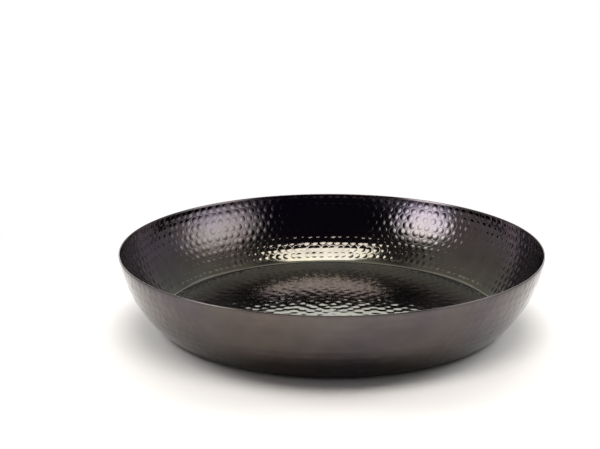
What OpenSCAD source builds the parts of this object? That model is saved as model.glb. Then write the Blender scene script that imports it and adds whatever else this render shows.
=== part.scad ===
// Shallow hammered copper bowl: one round sheet raised into a flared wall around a flat floor.
// It stands on four small round pads that are glued under the floor.
// Millimetres, +Z up. The origin is on the bowl's axis, in the plane that the pads stand on.

/* [Bowl] */
// Diameter across the outside of the rim
rim_d = 360; // [320:1:440]
// Height of the bowl itself, from the underside of its floor to the top of its rim
bowl_h = 61.5; // [48:0.5:76]
// How far the wall flares outwards, from the edge of the base to the rim
wall_run = 33; // [26:1:40]
// Slope of the wall at the rim, in degrees from level
rim_slope = 81.5; // [78:0.5:88]
// Thickness of the copper sheet
sheet_t = 1.2; // [0.8:0.1:2]
// Outside radius of the bend between the floor and the wall
bend_r = 4; // [3:0.5:8]

/* [Pads] */
// Diameter of one pad
pad_d = 12; // [8:1:20]
// Thickness of one pad
pad_t = 1.2; // [0.8:0.1:3]
// Rounding of a pad's lower edge
pad_edge_r = 0.5; // [0.2:0.1:0.7]
// Distance from the edge of the base in to the middle of a pad
pad_inset = 26; // [15:1:60]

/* [Hidden] */
$fn = 180;
wall_steps = 24;
bend_steps = 6;
rim_steps = 10;

base_r = rim_d / 2 - wall_run;
// The rim is rounded over to a half circle, and its centre is where the wall's arc ends.
rim_mid = [rim_d / 2 - sheet_t / 2, bowl_h - sheet_t / 2];
rim_turn = rim_slope - 90;
// The wall is one arc. It reaches rim_mid at rim_slope, and its outer face, carried on down,
// meets the base's plane at base_r. The second of these gives its radius at mid-sheet.
inward = [-cos(rim_turn), -sin(rim_turn)];
from_base = rim_mid - [base_r, 0];
wall_r = (from_base * from_base - pow(sheet_t / 2, 2)) / (sheet_t - 2 * (from_base * inward));
wall_mid = rim_mid + wall_r * inward;
// The bend touches the base's plane and the wall's outer face, so its centre is bend_r above
// the plane and as far from the wall's centre as the two outer radii differ.
bend_gap = wall_r + sheet_t / 2 - bend_r;
bend_mid = [wall_mid.x + sqrt(pow(bend_gap, 2) - pow(wall_mid.y - bend_r, 2)), bend_r];
// Direction, from both centres, in which the bend turns into the wall
bend_turn = atan2(bend_mid.y - wall_mid.y, bend_mid.x - wall_mid.x);
pad_circle_r = base_r - pad_inset;
finish = [0.21, 0.185, 0.185];
pad_black = [0.09, 0.09, 0.095];

// Points along an arc round `mid`, after the one in direction `from` and up to the one at `to`
function arc(mid, r, from, to, steps) = [
    for (i = [1 : steps])
        let (turn = from + (to - from) * i / steps)
            mid + r * [cos(turn), sin(turn)]
];

// Half of the sheet's section: out along the base's underside, up the outer face,
// over the rim and back down the inner face
sheet_outline = concat(
    [[0, 0], [bend_mid.x, 0]],
    arc(bend_mid, bend_r, -90, bend_turn, bend_steps),
    arc(wall_mid, wall_r + sheet_t / 2, bend_turn, rim_turn, wall_steps),
    arc(rim_mid, sheet_t / 2, rim_turn, rim_turn + 180, rim_steps),
    arc(wall_mid, wall_r - sheet_t / 2, rim_turn, bend_turn, wall_steps),
    arc(bend_mid, bend_r - sheet_t, bend_turn, -90, bend_steps),
    [[0, sheet_t]]
);

// The bowl: one hammered sheet, revolved
module bowl_shell() {
    color(finish)
        translate([0, 0, pad_t])
            rotate_extrude()
                polygon(sheet_outline);
}

// One pad, with its top face glued to the underside of the floor
module pad(turn) {
    color(pad_black)
        rotate([0, 0, turn])
            translate([pad_circle_r, 0, 0])
                rotate_extrude()
                    pad_section();
}

// Half of a pad's section, with a rounded lower edge
module pad_section() {
    translate([0, pad_edge_r])
        square([pad_d / 2, pad_t - pad_edge_r]);
    square([pad_d / 2 - pad_edge_r, pad_t]);
    translate([pad_d / 2 - pad_edge_r, pad_edge_r])
        circle(r = pad_edge_r);
}

bowl_shell();
pad(45);  // pad_back_right
pad(135);  // pad_back_left
pad(225);  // pad_front_left
pad(315);  // pad_front_right
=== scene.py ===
"""A wide, shallow hammered copper bowl on four small pads, dressed and lit for the studio.

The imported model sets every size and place. The bowl's plain sheet is replaced by a hammered one
of the same section, and the pads keep their shapes. Lengths are in metres.
"""
import logging
import math
import random
from dataclasses import dataclass, field
from enum import Enum

import bmesh
import bpy
from mathutils import Matrix, Vector
from mathutils.kdtree import KDTree


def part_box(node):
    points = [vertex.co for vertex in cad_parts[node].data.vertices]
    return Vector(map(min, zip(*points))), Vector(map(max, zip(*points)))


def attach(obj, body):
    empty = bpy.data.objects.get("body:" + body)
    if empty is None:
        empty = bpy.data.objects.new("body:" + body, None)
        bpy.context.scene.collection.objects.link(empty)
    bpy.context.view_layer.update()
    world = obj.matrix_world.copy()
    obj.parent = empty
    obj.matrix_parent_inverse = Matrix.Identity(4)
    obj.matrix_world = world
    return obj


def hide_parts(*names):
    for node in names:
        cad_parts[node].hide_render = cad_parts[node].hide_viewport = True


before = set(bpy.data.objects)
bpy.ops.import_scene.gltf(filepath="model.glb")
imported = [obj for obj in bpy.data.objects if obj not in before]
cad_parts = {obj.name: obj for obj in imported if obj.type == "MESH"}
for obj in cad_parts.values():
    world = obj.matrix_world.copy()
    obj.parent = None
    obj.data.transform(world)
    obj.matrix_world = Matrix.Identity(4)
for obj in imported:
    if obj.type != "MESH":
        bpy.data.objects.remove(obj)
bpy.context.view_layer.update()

log = logging.getLogger("hammered_bowl")

MM = 0.001
SHELL_NODE = "bowl_shell"
ON_FLOOR = 0.1 * MM
WELD = 0.02 * MM
FAR_FROM_DENTS = 1.5  # in dent radii: the value of a vertex that no dent comes near


def rgba(colour: str) -> tuple[float, float, float, float]:
    """Turns an sRGB hex colour into linear red, green, blue and alpha.

    Args:
        colour: Six hex digits with a leading #.

    Returns:
        The linear colour, fully opaque.
    """
    channels = [int(colour[i : i + 2], 16) / 255 for i in (1, 3, 5)]
    linear = [c / 12.92 if c <= 0.04045 else ((c + 0.055) / 1.055) ** 2.4 for c in channels]
    return (*linear, 1.0)


def add_node(
    tree: bpy.types.NodeTree,
    kind: str,
    settings: dict[str, object] | None = None,
    inputs: dict[object, object] | None = None,
) -> bpy.types.Node:
    """Adds a node, sets it up and links it.

    Args:
        tree: The node tree to add to.
        kind: The node's type, such as ShaderNodeMath.
        settings: Properties of the node itself.
        inputs: What each input socket, by name or number, holds: a value, or a socket to link.

    Returns:
        The new node.
    """
    node = tree.nodes.new(kind)
    for name, value in (settings or {}).items():
        setattr(node, name, value)
    for name, value in (inputs or {}).items():
        if isinstance(value, bpy.types.NodeSocket):
            tree.links.new(value, node.inputs[name])
        else:
            node.inputs[name].default_value = value
    return node


def set_ramp(node: bpy.types.Node, stops: list[tuple[float, tuple[float, ...]]]) -> None:
    """Sets a colour ramp's stops.

    Args:
        node: The colour ramp node.
        stops: Each stop's place and linear colour, in order.
    """
    elements = node.color_ramp.elements
    while len(elements) < len(stops):
        elements.new(1.0)
    for element, (place, colour) in zip(elements, stops):
        element.position = place
        element.color = colour


def direction(azimuth: float, elevation: float) -> Vector:
    """Gives the unit vector that points a given way from the bowl.

    Args:
        azimuth: Degrees round from -Y, where the camera stands, towards +X.
        elevation: Degrees above level.

    Returns:
        The unit vector.
    """
    turn, rise = math.radians(azimuth), math.radians(elevation)
    level = math.cos(rise)
    return Vector((level * math.sin(turn), -level * math.cos(turn), math.sin(rise)))


class Side(Enum):
    """The two faces of the sheet, by the sign of a dent's push along the face's normal."""

    INSIDE = -1
    OUTSIDE = 1


@dataclass(frozen=True)
class DarkCopper:
    """Copper sheet, darkened chemically and lacquered.

    The oxide film is thin enough to tint: olive on the floor and low on the wall, mauve towards
    the rim, and brown on the outside. The lacquer keeps it glossy, so the eye gets a near-black
    metal that mirrors the room, broken up by every dent and the lip round it.
    """

    floor_tint: str = "#69695f"
    wall_tint: str = "#5d5856"
    rim_tint: str = "#5f585d"
    outside_tint: str = "#605a57"
    roughness: float = 0.07
    thin_film: str = "#fff8f4"
    thick_film: str = "#f0f0ff"
    drift_size: float = 90 * MM
    mottle_size: float = 14 * MM
    grain_size: float = 0.9 * MM
    lip_place: float = 1.02
    lip_spread: float = 0.24
    lip_height: float = 0.037 * MM
    floor_lip: float = 0.3
    floor_lip_end: float = 0.1
    wall_tint_from: float = 0.35
    rim_tint_from: float = 0.9
    film_stops: tuple[float, float, float] = (0.36, 0.5, 0.64)
    mottle_range: tuple[float, float] = (0.3, 0.7)
    mottle_shades: tuple[float, float] = (0.9, 1.1)
    mottle_gloss: tuple[float, float] = (0.85, 1.2)
    grain_strength: float = 0.25
    grain_height: float = 0.02 * MM

    def material(self, low: float, high: float) -> bpy.types.Material:
        """Makes the material.

        Args:
            low: Height of the floor's top.
            high: Height of the rim.

        Returns:
            The material. It reads Object coordinates, and the mesh's attributes "inside", which
            is 1 on the inside face, and "dent_reach", the distance from the nearest dent.
        """
        made = bpy.data.materials.new("darkened_lacquered_copper")
        made.use_nodes = True
        tree = made.node_tree
        shader = tree.nodes["Principled BSDF"]
        shader.inputs["Metallic"].default_value = 1.0
        place = add_node(tree, "ShaderNodeTexCoord").outputs["Object"]
        height = add_node(tree, "ShaderNodeSeparateXYZ", inputs={0: place}).outputs["Z"]
        rise = add_node(
            tree, "ShaderNodeMapRange", inputs={"Value": height, "From Min": low, "From Max": high}
        )
        tint = add_node(tree, "ShaderNodeValToRGB", inputs={0: rise.outputs[0]})
        set_ramp(
            tint,
            [
                (0.0, rgba(self.floor_tint)),
                (self.wall_tint_from, rgba(self.wall_tint)),
                (self.rim_tint_from, rgba(self.rim_tint)),
            ],
        )
        inside = add_node(tree, "ShaderNodeAttribute", {"attribute_name": "inside"})
        sided = add_node(
            tree,
            "ShaderNodeMix",
            {"data_type": "RGBA"},
            {0: inside.outputs["Fac"], 6: rgba(self.outside_tint), 7: tint.outputs[0]},
        )
        drift = add_node(
            tree,
            "ShaderNodeTexNoise",
            inputs={"Vector": place, "Scale": 1 / self.drift_size, "Detail": 2.0},
        )
        film = add_node(tree, "ShaderNodeValToRGB", inputs={0: drift.outputs[0]})
        shades = (rgba(self.thin_film), (1, 1, 1, 1), rgba(self.thick_film))
        set_ramp(film, list(zip(self.film_stops, shades)))
        filmed = add_node(
            tree,
            "ShaderNodeMix",
            {"data_type": "RGBA", "blend_type": "MULTIPLY"},
            {0: 1.0, 6: sided.outputs[2], 7: film.outputs[0]},
        )
        mottle = add_node(
            tree,
            "ShaderNodeTexNoise",
            inputs={"Vector": place, "Scale": 1 / self.mottle_size, "Detail": 4.0},
        )
        patchy = {
            "Value": mottle.outputs[0],
            "From Min": self.mottle_range[0],
            "From Max": self.mottle_range[1],
        }
        shade = add_node(
            tree,
            "ShaderNodeMapRange",
            inputs={**patchy, "To Min": self.mottle_shades[0], "To Max": self.mottle_shades[1]},
        )
        coloured = add_node(
            tree,
            "ShaderNodeVectorMath",
            {"operation": "SCALE"},
            {0: filmed.outputs[2], "Scale": shade.outputs[0]},
        )
        tree.links.new(coloured.outputs[0], shader.inputs["Base Color"])
        rough = add_node(
            tree,
            "ShaderNodeMapRange",
            inputs={
                **patchy,
                "To Min": self.roughness * self.mottle_gloss[0],
                "To Max": self.roughness * self.mottle_gloss[1],
            },
        )
        tree.links.new(rough.outputs[0], shader.inputs["Roughness"])
        reach = add_node(tree, "ShaderNodeAttribute", {"attribute_name": "dent_reach"})
        crest = self.crest(tree, reach.outputs["Fac"])
        firmness = add_node(
            tree,
            "ShaderNodeMapRange",
            inputs={
                "Value": rise.outputs[0],
                "From Max": self.floor_lip_end,
                "To Min": self.floor_lip,
            },
        )
        lip = add_node(
            tree, "ShaderNodeMath", {"operation": "MULTIPLY"}, {0: crest, 1: firmness.outputs[0]}
        )
        lipped = add_node(
            tree,
            "ShaderNodeBump",
            inputs={"Strength": 1.0, "Distance": self.lip_height, "Height": lip.outputs[0]},
        )
        grain = add_node(
            tree,
            "ShaderNodeTexNoise",
            inputs={"Vector": place, "Scale": 1 / self.grain_size, "Detail": 2.0},
        )
        bump = add_node(
            tree,
            "ShaderNodeBump",
            inputs={
                "Strength": self.grain_strength,
                "Distance": self.grain_height,
                "Height": grain.outputs[0],
                "Normal": lipped.outputs[0],
            },
        )
        tree.links.new(bump.outputs[0], shader.inputs["Normal"])
        return made

    def crest(self, tree: bpy.types.NodeTree, reach: bpy.types.NodeSocket) -> bpy.types.NodeSocket:
        """Gives 1 on the lip that a blow raises round its dent, and 0 away from it.

        Args:
            tree: The material's nodes.
            reach: Distance from the nearest dent's centre, as a share of the dent's radius.

        Returns:
            The socket that holds the share.
        """
        away = add_node(
            tree, "ShaderNodeMath", {"operation": "SUBTRACT"}, {0: reach, 1: self.lip_place}
        )
        size = add_node(tree, "ShaderNodeMath", {"operation": "ABSOLUTE"}, {0: away.outputs[0]})
        crest = add_node(
            tree,
            "ShaderNodeMapRange",
            {"interpolation_type": "SMOOTHSTEP"},
            {"Value": size.outputs[0], "From Max": self.lip_spread, "To Min": 1.0, "To Max": 0.0},
        )
        return crest.outputs[0]


@dataclass(frozen=True)
class PadRubber:
    """Moulded black rubber, matt from its mould's fine blasting, so the eye gets no highlight."""

    colour: str = "#1d1d1f"
    roughness: float = 0.7
    grit: float = 0.35 * MM
    grit_strength: float = 0.5
    grit_height: float = 0.03 * MM

    def material(self) -> bpy.types.Material:
        """Makes the material, which reads Object coordinates."""
        made = bpy.data.materials.new("moulded_black_rubber")
        made.use_nodes = True
        tree = made.node_tree
        shader = tree.nodes["Principled BSDF"]
        shader.inputs["Base Color"].default_value = rgba(self.colour)
        shader.inputs["Roughness"].default_value = self.roughness
        place = add_node(tree, "ShaderNodeTexCoord").outputs["Object"]
        grit = add_node(
            tree, "ShaderNodeTexNoise", inputs={"Vector": place, "Scale": 1 / self.grit}
        )
        bump = add_node(
            tree,
            "ShaderNodeBump",
            inputs={
                "Strength": self.grit_strength,
                "Distance": self.grit_height,
                "Height": grit.outputs[0],
            },
        )
        tree.links.new(bump.outputs[0], shader.inputs["Normal"])
        return made


@dataclass(frozen=True)
class Dent:
    """One blow of the hammer."""

    place: Vector
    radius: float
    depth: float


@dataclass(frozen=True)
class Hammering:
    """How the hammer went round the sheet: in rings, down the wall and then in over the floor."""

    wall_first: float = 4.3 * MM
    wall_spacing: float = 7.14 * MM
    wall_rows: int = 9
    wall_dents: int = 135
    floor_first: float = 5.0 * MM
    floor_spacing: float = 6.8 * MM
    floor_pitch: float = 10.3 * MM
    radius: float = 3.1 * MM
    floor_radius: float = 4.6 * MM
    depth: float = 0.22 * MM
    floor_depth: float = 0.14 * MM
    bowing: float = 1.5
    stray: float = 0.6 * MM
    floor_stray: float = 0.45 * MM
    sideways: float = 0.5
    drift: float = 0.18
    uneven_depth: float = 0.28
    uneven_size: float = 0.07
    swing_limit: float = 1.6
    seed: int = 7


@dataclass
class Section:
    """The section of the sheet: floor, bend, one arc of wall, and a rounded rim.

    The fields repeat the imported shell's sizes, and its box gives the rim's radius and height.
    """

    wall_run: float = 33 * MM
    rim_slope: float = 81.5
    thickness: float = 1.2 * MM
    bend_radius: float = 4 * MM
    rim_radius: float = field(init=False)
    base: float = field(init=False)
    top: float = field(init=False)
    rim_mid: Vector = field(init=False)
    rim_turn: float = field(init=False)
    wall_radius: float = field(init=False)
    wall_mid: Vector = field(init=False)
    bend_mid: Vector = field(init=False)
    bend_turn: float = field(init=False)

    def __post_init__(self) -> None:
        """Reads the shell's box and works out the arcs."""
        low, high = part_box(SHELL_NODE)
        self.rim_radius, self.base, self.top = high[0], low[2], high[2]
        half = self.thickness / 2
        self.rim_mid = Vector((self.rim_radius - half, 0, self.top - half))
        self.rim_turn = math.radians(self.rim_slope - 90)
        inward = Vector((-math.cos(self.rim_turn), 0, -math.sin(self.rim_turn)))
        edge = Vector((self.rim_radius - self.wall_run, 0, self.base))
        rise = self.rim_mid - edge
        self.wall_radius = (rise.dot(rise) - half**2) / (self.thickness - 2 * rise.dot(inward))
        self.wall_mid = self.rim_mid + self.wall_radius * inward
        gap = self.wall_radius + half - self.bend_radius
        bend_z = self.base + self.bend_radius
        reach = math.sqrt(gap**2 - (self.wall_mid.z - bend_z) ** 2)
        self.bend_mid = Vector((self.wall_mid.x + reach, 0, bend_z))
        self.bend_turn = math.atan2(self.bend_mid.z - self.wall_mid.z, reach)

    @property
    def floor(self) -> float:
        """Height of the floor's top face."""
        return self.base + self.thickness

    def wall_place(self, down: float) -> Vector:
        """Gives a point on the wall's inner face in the section's plane.

        Args:
            down: Distance along the face from the rim.

        Returns:
            The point, at Y = 0.
        """
        radius = self.wall_radius - self.thickness / 2
        turn = self.rim_turn - down / radius
        return self.wall_mid + radius * Vector((math.cos(turn), 0, math.sin(turn)))


@dataclass(frozen=True)
class Stretch:
    """One stretch of a section: an arc round a centre, or a straight run."""

    steps: int
    centre: Vector = Vector()
    turn: float = 0.0
    run: Vector = Vector()


@dataclass
class HammeredShell:
    """The bowl itself: one sheet, turned from its section and hammered on the inside.

    The sheet is turned as bands with fewer faces round the nearer they lie to the middle, and the
    bands are then bridged into one closed skin.
    """

    section: Section
    hammering: Hammering
    finish: DarkCopper
    inner_segments: int = 864
    outer_segments: int = 480
    sector: int = 12
    inner_wall_steps: int = 54
    outer_wall_steps: int = 32
    bend_steps: int = 3
    rim_steps: int = 4
    floor_quad: float = 1.8 * MM
    underside_quad: float = 3.6 * MM
    band_ratio: float = 0.62
    cap_quads: int = 4
    hole_quads: int = 2
    outside_share: float = 1.5
    underside_share: float = 0.35
    outside_spread: float = 1.2

    def build(self) -> bpy.types.Object:
        """Builds the mesh, hammers and dresses it.

        Returns:
            The bowl's object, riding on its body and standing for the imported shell.
        """
        mesh = bmesh.new()
        mesh.verts.layers.int.new("ring")
        mesh.verts.layers.float.new("inside")
        outer_foot, rim = self.turn_outside(mesh)
        brow, inner_foot = self.turn_inside(mesh)
        joins = [(rim, brow)]
        caps = []
        for foot, side in ((outer_foot, Side.OUTSIDE), (inner_foot, Side.INSIDE)):
            more, cap = self.turn_floor(mesh, foot, side)
            joins += more
            caps.append(cap)
        self.close(mesh, joins, caps)
        self.hammer(mesh)
        mesh.verts.layers.int.remove(mesh.verts.layers.int["ring"])
        data = bpy.data.meshes.new("hammered_bowl")
        mesh.to_mesh(data)
        mesh.free()
        data.materials.append(self.finish.material(self.section.floor, self.section.top))
        bowl = bpy.data.objects.new("hammered_bowl", data)
        bpy.context.scene.collection.objects.link(bowl)
        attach(bowl, "root")
        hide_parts(SHELL_NODE)
        return bowl

    def turn_outside(self, mesh: bmesh.types.BMesh) -> tuple[int, int]:
        """Turns the bend, the wall and the rim as the outside shows them, from the bottom up.

        Args:
            mesh: The mesh to add to.

        Returns:
            The numbers of the band's first and last rings.
        """
        cut = self.section
        stretches = [
            Stretch(self.bend_steps, cut.bend_mid, cut.bend_turn + math.pi / 2),
            Stretch(self.outer_wall_steps, cut.wall_mid, cut.rim_turn - cut.bend_turn),
            Stretch(self.rim_steps, cut.rim_mid, math.pi),
        ]
        start = cut.bend_mid - Vector((0, 0, cut.bend_radius))
        return self.turn_band(mesh, start, stretches, self.outer_segments, Side.OUTSIDE)

    def turn_inside(self, mesh: bmesh.types.BMesh) -> tuple[int, int]:
        """Turns the wall and the bend as the inside shows them, from just under the rim down.

        Args:
            mesh: The mesh to add to.

        Returns:
            The numbers of the band's first and last rings.
        """
        cut = self.section
        fall = (cut.bend_turn - cut.rim_turn) / (self.inner_wall_steps + 1)
        stretches = [
            Stretch(self.inner_wall_steps, cut.wall_mid, fall * self.inner_wall_steps),
            Stretch(self.bend_steps, cut.bend_mid, -cut.bend_turn - math.pi / 2),
        ]
        start = cut.wall_place(-fall * (cut.wall_radius - cut.thickness / 2))
        return self.turn_band(mesh, start, stretches, self.inner_segments, Side.INSIDE)

    def turn_floor(
        self, mesh: bmesh.types.BMesh, foot: int, side: Side
    ) -> tuple[list[tuple[int, int]], int]:
        """Turns the bands of one face of the floor, fewer faces to a ring further in.

        Args:
            mesh: The mesh to add to.
            foot: The number of the ring that the wall ends on.
            side: Which face of the sheet this is.

        Returns:
            The pairs of rings to bridge, and the number of the innermost ring.
        """
        inside = side is Side.INSIDE
        height = self.section.floor if inside else self.section.base
        quad = self.floor_quad if inside else self.underside_quad
        radius = self.section.bend_mid.x - quad
        joins = []
        while radius > self.cap_quads * quad:
            around = 2 * math.pi * radius / quad
            segments = self.sector * max(1, int(around / self.sector))
            inner = max(radius * self.band_ratio, self.hole_quads * quad)
            steps = max(1, round((radius - inner) / quad))
            start = Vector((radius, 0, height))
            run = Stretch(steps, run=Vector((inner - radius, 0, 0)))
            first, last = self.turn_band(mesh, start, [run], segments, side)
            joins.append((foot, first))
            foot = last
            radius = inner - quad
        return joins, foot

    def turn_band(
        self,
        mesh: bmesh.types.BMesh,
        start: Vector,
        stretches: list[Stretch],
        segments: int,
        side: Side,
    ) -> tuple[int, int]:
        """Turns a section once round the bowl's axis, as one band.

        A sector is spun first and then repeated all round, which is quicker than one full spin.

        Args:
            mesh: The mesh that the band joins.
            start: The section's first point, at Y = 0.
            stretches: The section's stretches, in order.
            segments: How many faces go round.
            side: Which face of the sheet this is.

        Returns:
            The numbers that the band's first and last rings carry in the ring layer.
        """
        numbers = mesh.verts.layers.int["ring"]
        first = 1 + max((v[numbers] for v in mesh.verts), default=0)
        band = bmesh.new()
        ring = band.verts.layers.int.new("ring")
        inside = band.verts.layers.float.new("inside")
        tip = band.verts.new(start)
        tip[inside] = float(side is Side.INSIDE)
        ends = [tip]
        for part in stretches:
            grown = bmesh.ops.spin(
                band, geom=[tip], cent=part.centre, axis=(0, -1, 0), dvec=part.run / part.steps,
                angle=part.turn, steps=part.steps, use_merge=False, use_duplicate=False,
            )
            tip = next(g for g in grown["geom_last"] if isinstance(g, bmesh.types.BMVert))
        ends.append(tip)
        for number, end in enumerate(ends):
            end[ring] = first + number
        repeats = segments // self.sector
        full = 2 * math.pi
        about = {"cent": (0, 0, 0), "axis": (0, 0, 1), "dvec": (0, 0, 0), "use_merge": False}
        line = band.verts[:] + band.edges[:]
        bmesh.ops.spin(
            band, geom=line, angle=full / repeats, steps=self.sector, use_duplicate=False, **about
        )
        wedge = band.verts[:] + band.edges[:] + band.faces[:]
        bmesh.ops.spin(
            band, geom=wedge, angle=full * (repeats - 1) / repeats, steps=repeats - 1,
            use_duplicate=True, **about,
        )
        bmesh.ops.remove_doubles(band, verts=band.verts, dist=WELD)
        carrier = bpy.data.meshes.new("band")
        band.to_mesh(carrier)
        band.free()
        mesh.from_mesh(carrier)
        bpy.data.meshes.remove(carrier)
        return first, first + 1

    def close(
        self, mesh: bmesh.types.BMesh, joins: list[tuple[int, int]], caps: list[int]
    ) -> None:
        """Joins the bands to each other, caps the two floors and makes the faces' sides agree.

        Known fault: the join between the outside's foot and the first ring of the underside, of
        480 and 240 edges, comes out twisted. Its faces cross under the floor, and the rest of the
        underside faces up. The wall, the rim and the inside are joined rightly.

        Args:
            mesh: The mesh that holds every band.
            joins: The pairs of rings to bridge.
            caps: The rings to close with a fan.
        """
        numbers = mesh.verts.layers.int["ring"]
        rings: dict[int, list[bmesh.types.BMEdge]] = {}
        for edge in mesh.edges:
            if edge.is_boundary:
                rings.setdefault(edge.verts[0][numbers], []).append(edge)
        for first, last in joins:
            bmesh.ops.bridge_loops(mesh, edges=rings[first] + rings[last])
        for cap in caps:
            filled = bmesh.ops.contextual_create(mesh, geom=rings[cap])
            bmesh.ops.poke(mesh, faces=filled["faces"])
        bmesh.ops.recalc_face_normals(mesh, faces=mesh.faces)
        for face in mesh.faces:
            face.smooth = True
        log.info("open edges left: %d", sum(not e.is_manifold for e in mesh.edges))

    def dents(self) -> list[Dent]:
        """Lists the hammer's blows, each a little astray in place, size and depth."""
        plan, cut = self.hammering, self.section
        chance = random.Random(plan.seed)
        rings = []
        for row in range(plan.wall_rows):
            spot = cut.wall_place(plan.wall_first + row * plan.wall_spacing)
            rings.append((spot, plan.wall_dents, plan.radius, plan.depth, plan.stray))
        radius = cut.bend_mid.x - plan.floor_first
        while radius > plan.floor_spacing / 2:
            count = max(3, round(2 * math.pi * radius / plan.floor_pitch))
            spot = Vector((radius, 0, cut.floor))
            rings.append((spot, count, plan.floor_radius, plan.floor_depth, plan.floor_stray))
            radius -= plan.floor_spacing
        made = []
        for row, (spot, count, size, depth, stray) in enumerate(rings):
            phase = row / 2 + chance.uniform(-plan.drift, plan.drift)
            for step in range(count):
                turn = 2 * math.pi * (step + phase) / count + chance.gauss(0, stray) / spot.x
                reach = spot.x + chance.gauss(0, stray * plan.sideways)
                swing = max(-plan.swing_limit, min(plan.swing_limit, chance.gauss(0, 1)))
                place = Vector((reach * math.cos(turn), reach * math.sin(turn), spot.z))
                wider = size * (1 + plan.uneven_size * swing)
                made.append(Dent(place, wider, depth * (1 + plan.uneven_depth * swing)))
        return made

    def hammer(self, mesh: bmesh.types.BMesh) -> None:
        """Pushes both faces of the wall outwards at every dent, and the floor's top down.

        The wall's outer face goes further than the inner one, so that its texture shows.

        Each vertex of the inside also gets "dent_reach", its distance from the nearest dent's
        centre as a share of that dent's radius.

        Args:
            mesh: The closed sheet.
        """
        mesh.normal_update()
        faces: dict[Side, list[bmesh.types.BMVert]] = {side: [] for side in Side}
        nearest = mesh.verts.layers.float.new("dent_reach")
        inside = mesh.verts.layers.float["inside"]
        for vert in mesh.verts:
            vert[nearest] = FAR_FROM_DENTS
            faces[Side.INSIDE if vert[inside] else Side.OUTSIDE].append(vert)
        dents = self.dents()
        log.info("%d dents", len(dents))
        for side, verts in faces.items():
            tree = KDTree(len(verts))
            for index, vert in enumerate(verts):
                tree.insert(vert.co, index)
            tree.balance()
            push = [0.0] * len(verts)
            for dent in dents:
                spot, reach, depth = dent.place, dent.radius, dent.depth
                if side is Side.OUTSIDE:
                    on_floor = abs(spot.z - self.section.floor) < ON_FLOOR
                    depth *= self.underside_share if on_floor else self.outside_share
                    reach *= self.outside_spread
                    spot = self.across(spot, on_floor)
                for _, index, away in tree.find_range(spot, reach * FAR_FROM_DENTS):
                    share = away / reach
                    if side is Side.INSIDE:
                        verts[index][nearest] = min(verts[index][nearest], share)
                    if share < 1:
                        fall = (1 - share**2) ** self.hammering.bowing
                        push[index] = max(push[index], depth * fall)
            moves = [(v, v.normal * (side.value * p)) for v, p in zip(verts, push) if p > 0]
            for vert, move in moves:
                vert.co += move
        mesh.normal_update()

    def across(self, spot: Vector, on_floor: bool) -> Vector:
        """Carries a point on the inside face straight through the sheet to the outside face.

        Args:
            spot: The point on the inside face.
            on_floor: Whether it is on the floor, and not on the wall.

        Returns:
            The point on the outside face.
        """
        cut = self.section
        if on_floor:
            return spot - Vector((0, 0, cut.thickness))
        out = Vector((spot.x, spot.y, 0)).normalized()
        centre = out * cut.wall_mid.x + Vector((0, 0, cut.wall_mid.z))
        return spot + (spot - centre).normalized() * cut.thickness


@dataclass
class Pads:
    """The four pads under the floor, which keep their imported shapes."""

    finish: PadRubber

    def dress(self) -> list[bpy.types.Object]:
        """Gives every pad its finish.

        Returns:
            The pads' objects.
        """
        rubber = self.finish.material()
        pads = [o for name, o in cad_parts.items() if name.startswith("pad_")]
        for pad in pads:
            pad.data.materials.clear()
            pad.data.materials.append(rubber)
        return pads


@dataclass(frozen=True)
class Softbox:
    """A studio light behind an oval cloth, which can be brightest in its middle.

    Brightness is that of the cloth itself, and core is the share of it that is not faded.
    """

    name: str
    azimuth: float
    elevation: float
    width: float
    height: float
    brightness: float
    core: float = 1.0
    colour: str = "#ffffff"
    distance: float = 1.5

    def hang(self, aim: Vector) -> bpy.types.Object:
        """Makes the light.

        Args:
            aim: The point that it faces.

        Returns:
            The light's object.
        """
        lamp = bpy.data.lights.new(self.name, "AREA")
        lamp.shape = "ELLIPSE"
        lamp.size, lamp.size_y = self.width, self.height
        lamp.color = rgba(self.colour)[:3]
        cloth = math.pi / 4 * self.width * self.height
        lamp.energy = self.brightness * math.pi * cloth
        if self.core < 1:
            self.soften(lamp)
        place = aim + self.distance * direction(self.azimuth, self.elevation)
        turn = (aim - place).to_track_quat("-Z", "Y").to_matrix().to_4x4()
        hung = bpy.data.objects.new(self.name, lamp)
        hung.matrix_world = Matrix.Translation(place) @ turn
        hung.visible_camera = False
        bpy.context.scene.collection.objects.link(hung)
        return hung

    def soften(self, lamp: bpy.types.AreaLight) -> None:
        """Fades the cloth from its bright core out to its edge.

        Args:
            lamp: The light to fade.
        """
        lamp.use_nodes = True
        tree = lamp.node_tree
        spot = add_node(tree, "ShaderNodeNewGeometry").outputs["Parametric"]
        away = add_node(
            tree, "ShaderNodeVectorMath", {"operation": "DISTANCE"}, {0: spot, 1: (0.5, 0.5, 0)}
        )
        fade = add_node(
            tree,
            "ShaderNodeMapRange",
            {"interpolation_type": "SMOOTHSTEP"},
            {"Value": away.outputs["Value"], "From Min": self.core / 2, "From Max": 0.5,
             "To Min": 1.0, "To Max": 0.0},
        )
        tree.links.new(fade.outputs[0], tree.nodes["Emission"].inputs["Strength"])


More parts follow.
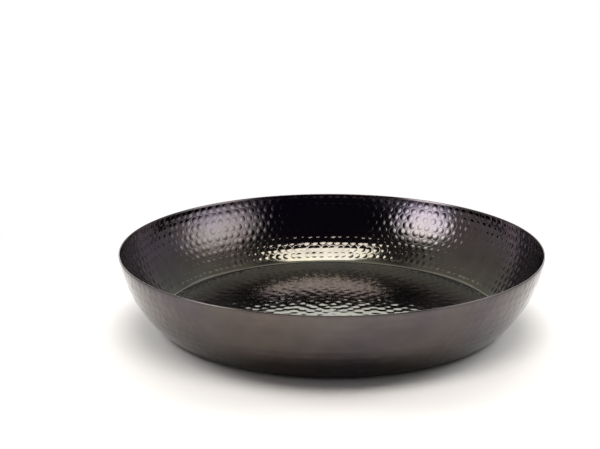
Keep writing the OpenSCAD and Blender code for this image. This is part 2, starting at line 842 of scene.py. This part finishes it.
@dataclass
class Studio:
    """The floor, the lights, the room round them and the camera.

    The room's colours are linear brightness, so its white can be over 1.
    """

    floor_radius: float = 6.0
    floor_colour: str = "#f4f3f1"
    # Where the floor's white glow starts and where it is full, in metres from the middle; it paints
    # light over the outer part of the bowl's shadow.
    fade_start: float = 0.15
    fade_end: float = 0.42
    camera_elevation: float = 19.55
    camera_distance: float = 1.094
    aim: tuple[float, float, float] = (-26.4 * MM, 0.0, 80.7 * MM)
    camera_roll: float = -0.18
    lens: float = 75.5
    sensor: float = 36.0
    floor_segments: int = 96
    floor_roughness: float = 0.9
    room_grey: tuple[float, ...] = (0.46, 0.45, 0.44, 1)
    room_dim: tuple[float, ...] = (0.08, 0.08, 0.08, 1)
    room_pale: tuple[float, ...] = (0.75, 0.72, 0.66, 1)
    room_white: tuple[float, ...] = (2.0, 2.0, 1.95, 1)
    room_black: tuple[float, ...] = (0.022, 0.017, 0.032, 1)

    def build(self) -> None:
        """Sets everything up."""
        self.light(self.lay_floor())
        self.paint_room()
        self.place_camera()
        bpy.context.scene.view_settings.view_transform = "Standard"

    def lay_floor(self) -> bpy.types.Object:
        """Makes a plain pale floor under the pads.

        Returns:
            The floor's object.
        """
        mesh = bmesh.new()
        bmesh.ops.create_circle(
            mesh, cap_ends=True, segments=self.floor_segments, radius=self.floor_radius
        )
        data = bpy.data.meshes.new("studio_floor")
        mesh.to_mesh(data)
        mesh.free()
        paint = bpy.data.materials.new("studio_floor_paint")
        paint.use_nodes = True
        shader = paint.node_tree.nodes["Principled BSDF"]
        shader.inputs["Base Color"].default_value = rgba(self.floor_colour)
        shader.inputs["Roughness"].default_value = self.floor_roughness
        shader.inputs["Specular IOR Level"].default_value = 0.0
        self.fade_out(paint.node_tree, shader)
        data.materials.append(paint)
        floor = bpy.data.objects.new("studio_floor", data)
        bpy.context.scene.collection.objects.link(floor)
        return floor

    def fade_out(self, tree: bpy.types.NodeTree, shader: bpy.types.Node) -> None:
        """Fades the floor's paint to a plain white glow away from the bowl, as a lit studio sweep
        does. The glow starts at the bowl's foot, so it paints light over the outer part of the
        bowl's cast shadow; further out the floor is an evenly white glow.

        Args:
            tree: The paint's nodes.
            shader: The node that shades the paint near the bowl.
        """
        place = add_node(tree, "ShaderNodeTexCoord").outputs["Object"]
        away = add_node(tree, "ShaderNodeVectorMath", {"operation": "LENGTH"}, {0: place})
        share = add_node(
            tree,
            "ShaderNodeMapRange",
            {"interpolation_type": "SMOOTHSTEP"},
            {"Value": away.outputs["Value"], "From Min": self.fade_start, "From Max": self.fade_end},
        )
        # Painted light: a white glow, mixed in away from the bowl, that lightens the bowl's cast
        # shadow on the floor.
        white_glow = add_node(tree, "ShaderNodeEmission", inputs={"Color": (1, 1, 1, 1)})
        mixed = add_node(
            tree,
            "ShaderNodeMixShader",
            inputs={0: share.outputs[0], 1: shader.outputs[0], 2: white_glow.outputs[0]},
        )
        tree.links.new(mixed.outputs[0], tree.nodes["Material Output"].inputs["Surface"])

    def light(self, floor: bpy.types.Object) -> None:
        """Hangs the softboxes round and over the bowl, and the lights that only the floor gets.

        Args:
            floor: The floor. The two side softboxes leave it out, and its washes and side fills
                light nothing else.
        """
        middle = Vector((0, 0, 0.03))
        behind = Vector((0, 0.6, 0))
        sides = [
            Softbox(
                "left_softbox", azimuth=-64, elevation=24, width=1.15, height=1.35,
                brightness=6.2, core=0.25,
            ),
            Softbox(
                "right_softbox", azimuth=78, elevation=24, width=1.9, height=1.4,
                brightness=3.1, core=0.1,
            ),
        ]
        off_floor = bpy.data.collections.new("all_but_the_floor")
        off_floor.objects.link(floor)
        off_floor.collection_objects[0].light_linking.link_state = "EXCLUDE"
        for softbox in sides:
            softbox.hang(middle).light_linking.receiver_collection = off_floor
        only_floor = bpy.data.collections.new("the_floor")
        only_floor.objects.link(floor)
        washes = [
            Softbox(
                "floor_wash", azimuth=180, elevation=80, width=9.0, height=9.0,
                brightness=0.14, distance=2.8,
            ),
            Softbox(
                "back_wash", azimuth=180, elevation=52, width=1.2, height=0.5,
                brightness=4.0, distance=1.14,
            ),
        ]
        fills = [
            Softbox(
                f"side_fill_{azimuth}", azimuth=azimuth, elevation=35, width=0.5, height=0.5,
                brightness=7.5, distance=1.1,
            )
            for azimuth in (-102, 102)
        ]
        for softbox in washes + fills:
            softbox.hang(middle).light_linking.receiver_collection = only_floor
        overhead = Softbox(
            "overhead_softbox", azimuth=10, elevation=75.2, width=1.44, height=0.57,
            brightness=6.6, core=0.8, colour="#fff8f2",
        )
        overhead.hang(middle)
        top = Softbox(
            "top_light", azimuth=180, elevation=70, width=3.0, height=2.0,
            brightness=0.5, distance=1.8,
        )
        top.hang(behind)

    def paint_room(self) -> None:
        """Makes the room: grey, with a dim, a pale, a white and a black zone laid over it.

        The camera itself sees plain white all round.
        """
        world = bpy.data.worlds.new("studio_room")
        world.use_nodes = True
        tree = world.node_tree
        ray = add_node(tree, "ShaderNodeTexCoord").outputs["Generated"]

        def zone(azimuth: float, elevation: float, edge: float, core: float) -> bpy.types.NodeSocket:
            """Gives 1 within core degrees of a direction and 0 beyond edge degrees."""
            near = add_node(
                tree,
                "ShaderNodeVectorMath",
                {"operation": "DOT_PRODUCT"},
                {0: ray, 1: direction(azimuth, elevation)},
            )
            share = add_node(
                tree,
                "ShaderNodeMapRange",
                {"interpolation_type": "SMOOTHSTEP"},
                {"Value": near.outputs["Value"], "From Min": math.cos(math.radians(edge)),
                 "From Max": math.cos(math.radians(core))},
            )
            return share.outputs[0]

        shades = [
            (zone(azimuth=0, elevation=50, edge=55, core=38), self.room_dim),
            (zone(azimuth=0, elevation=92, edge=28, core=10), self.room_pale),
            (zone(azimuth=180, elevation=12, edge=36, core=22), self.room_white),
            (zone(azimuth=6, elevation=22, edge=52, core=28), self.room_black),
        ]
        mixed: object = self.room_grey
        for share, colour in shades:
            step = add_node(
                tree, "ShaderNodeMix", {"data_type": "RGBA"}, {0: share, 6: mixed, 7: colour}
            )
            mixed = step.outputs[2]
        seen = add_node(tree, "ShaderNodeLightPath").outputs["Is Camera Ray"]
        final = add_node(
            tree, "ShaderNodeMix", {"data_type": "RGBA"}, {0: seen, 6: mixed, 7: (1, 1, 1, 1)}
        )
        tree.links.new(final.outputs[2], tree.nodes["Background"].inputs["Color"])
        bpy.context.scene.world = world

    def place_camera(self) -> None:
        """Stands the camera in front of the bowl, a little above it."""
        lens = bpy.data.cameras.new("camera")
        lens.lens, lens.sensor_width = self.lens, self.sensor
        spot = self.camera_distance * direction(0, self.camera_elevation)
        turn = (Vector(self.aim) - spot).to_track_quat("-Z", "Y").to_matrix().to_4x4()
        roll = Matrix.Rotation(math.radians(self.camera_roll), 4, "Z")
        camera = bpy.data.objects.new("camera", lens)
        camera.matrix_world = Matrix.Translation(spot) @ turn @ roll
        bpy.context.scene.collection.objects.link(camera)
        bpy.context.scene.camera = camera


def main() -> None:
    """Builds the bowl, dresses the pads and sets up the studio."""
    logging.basicConfig(level=logging.INFO, format="%(name)s: %(message)s")
    Studio().build()
    shell = HammeredShell(Section(), Hammering(), DarkCopper()).build()
    shell.data.calc_loop_triangles()
    log.info("%s: %d triangles", shell.name, len(shell.data.loop_triangles))
    for pad in Pads(PadRubber()).dress():
        log.info("%s dressed", pad.name)


if __name__ == "__main__":
    main()
